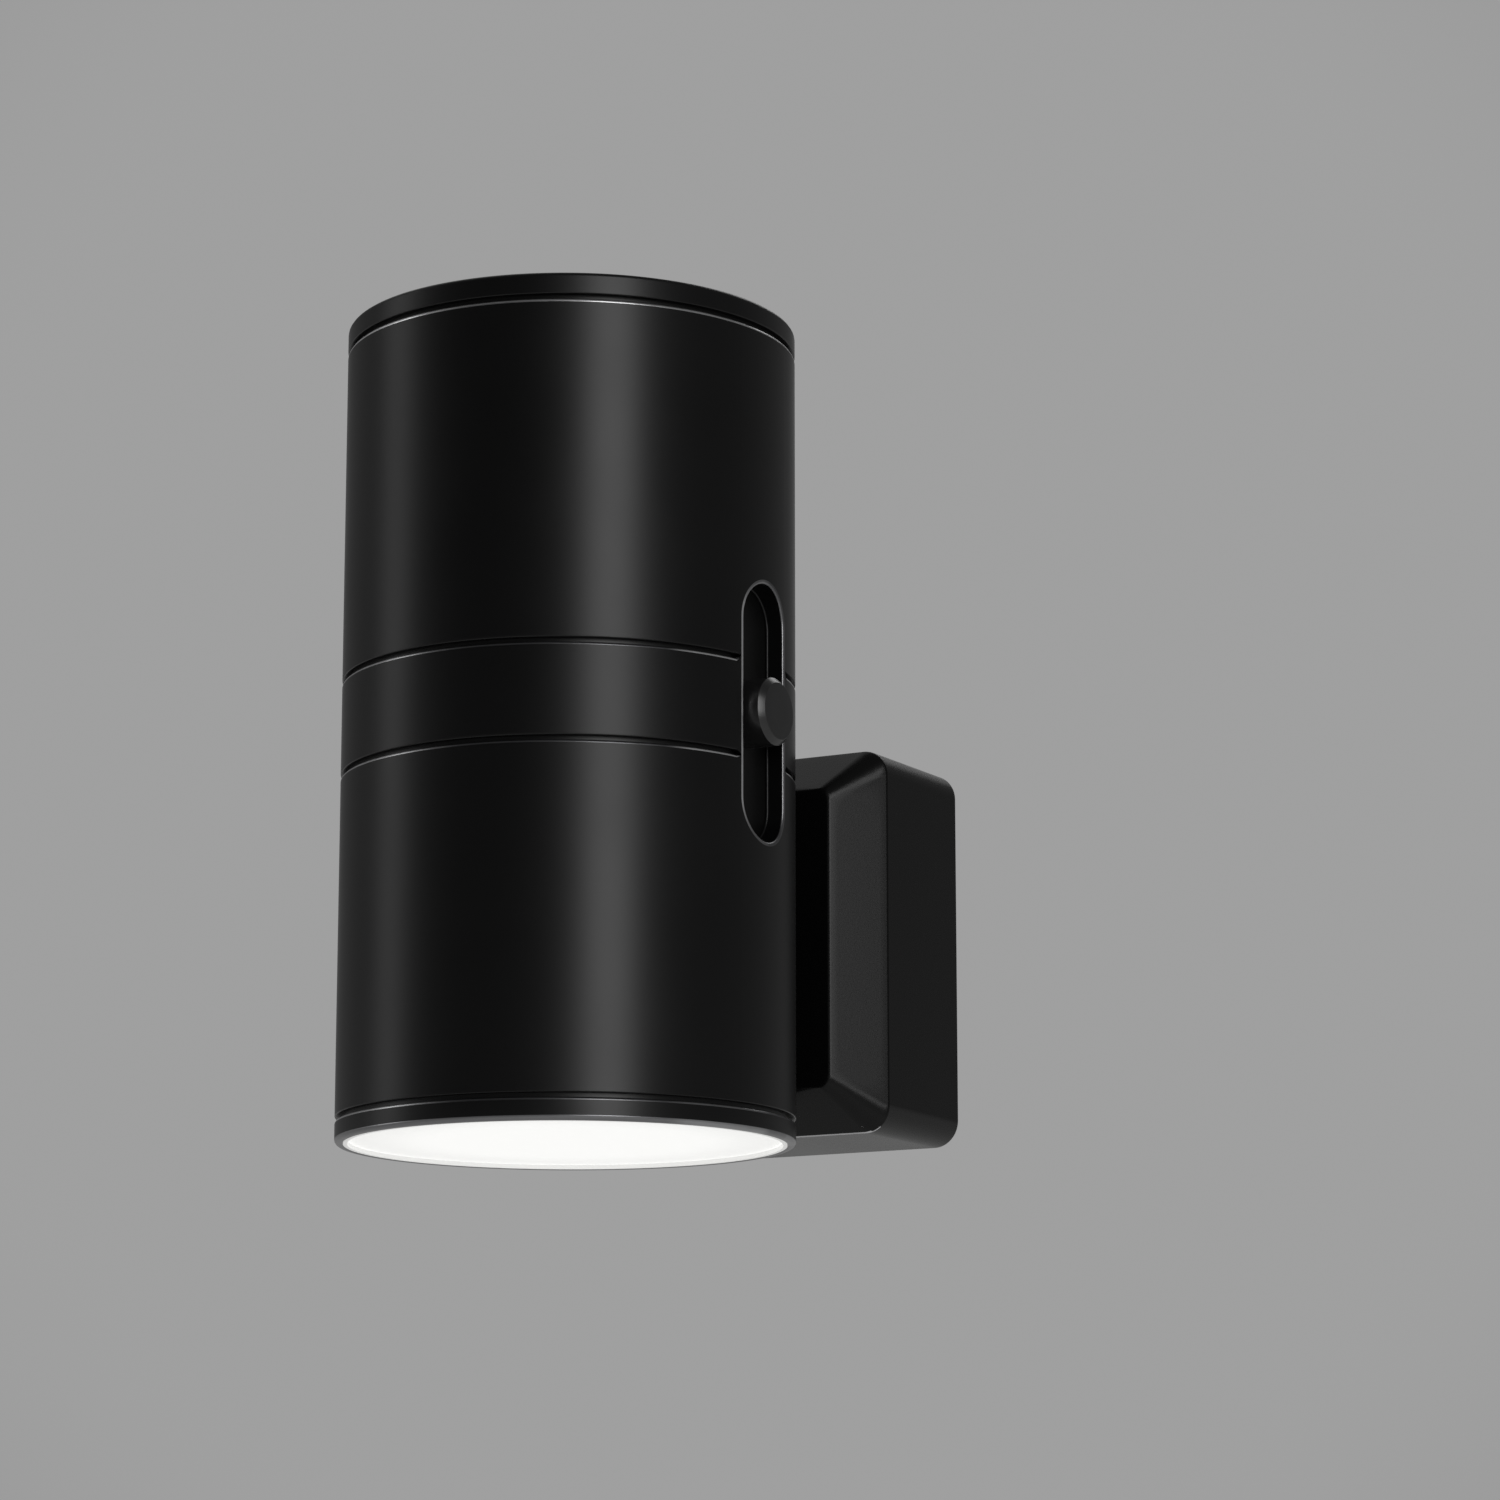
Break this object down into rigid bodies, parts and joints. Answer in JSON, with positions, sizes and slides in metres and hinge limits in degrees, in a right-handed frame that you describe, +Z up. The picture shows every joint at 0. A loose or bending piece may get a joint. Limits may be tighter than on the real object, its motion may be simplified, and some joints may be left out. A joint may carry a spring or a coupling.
{
  "type": "plug-in night light",
  "caption": "Plug-in night light: a round up-and-down tube lamp with a slide dimmer in its side, carried by a bevelled three-pin plug body.",
  "frame": {"origin": "centre of the plug's engagement face, which rests on the socket", "axes": "+Z up; +Y into the socket, along the pins; the lamp stands out along -Y; the slide knob is on +X"},
  "size_m": [0.0515, 0.0928, 0.091],
  "materials": {
    "shell_black": "satin black, moulded and painted",
    "plug_black": "matte black, fine spark-eroded grain",
    "knob_black": "satin black",
    "strip_black": "matte black",
    "opal": "opal, lit from behind",
    "white_moulding": "satin white",
    "aluminium": "plain rolled",
    "white_board": "white solder mask",
    "chip_phosphor": "yellow phosphor",
    "screw_steel": "zinc plated",
    "wire": "white insulation",
    "dark_moulding": "satin",
    "tinned_steel": "tinned",
    "green_board": "green solder mask",
    "pin_brass": "drawn brass",
    "sleeve_black": "satin",
    "ferrite": "sintered, dark grey",
    "capacitor_sleeve": "heat-shrunk sleeve",
    "resistor_coat": "cement coat",
    "package_black": "matte",
    "rubber": "moulded rubber"
  },
  "bodies": {
    "lamp": {"upper_bezel": "shell_black", "lower_bezel": "shell_black", "upper_housing": "shell_black", "lower_housing": "shell_black", "centre_band": "shell_black", "upper_diffuser": "opal", "lower_diffuser": "opal", "upper_reflector": "white_moulding", "lower_reflector": "white_moulding", "upper_led_carrier": "white_moulding", "lower_led_carrier": "white_moulding", "upper_heat_plate": "aluminium", "lower_heat_plate": "aluminium", "upper_led_board": "white_board", "lower_led_board": "white_board", "upper_leds": "chip_phosphor", "lower_leds": "chip_phosphor", "upper_board_screws": "screw_steel", "lower_board_screws": "screw_steel", "upper_led_leads": "wire", "lower_led_leads": "wire", "dimmer_body": "tinned_steel", "control_board": "green_board", "control_board_screws": "screw_steel", "plug_cover": "plug_black", "plug_base": "plug_black", "base_screws": "screw_steel", "earth_pin": "plug_black", "live_pin": "pin_brass", "neutral_pin": "pin_brass", "pin_sleeves": "sleeve_black", "driver_board": "green_board", "driver_board_screws": "screw_steel", "transformer": "ferrite", "smoothing_capacitor": "capacitor_sleeve", "output_capacitor": "capacitor_sleeve", "fusible_resistor": "resistor_coat", "filter_choke": "ferrite", "bridge_rectifier": "package_black", "driver_chip": "package_black", "head_screws": "screw_steel", "lead_grommet": "rubber", "supply_leads": "wire"},
    "slide": {"slide_knob": "knob_black", "slide_strip": "strip_black", "dimmer_lever": "dark_moulding"}
  },
  "joints": [
    {"name": "dimmer_slide", "type": "slide", "parent": "lamp", "child": "slide", "axis": [0, 0, 1], "range_m": [-0.01, 0.01]}
  ]
}
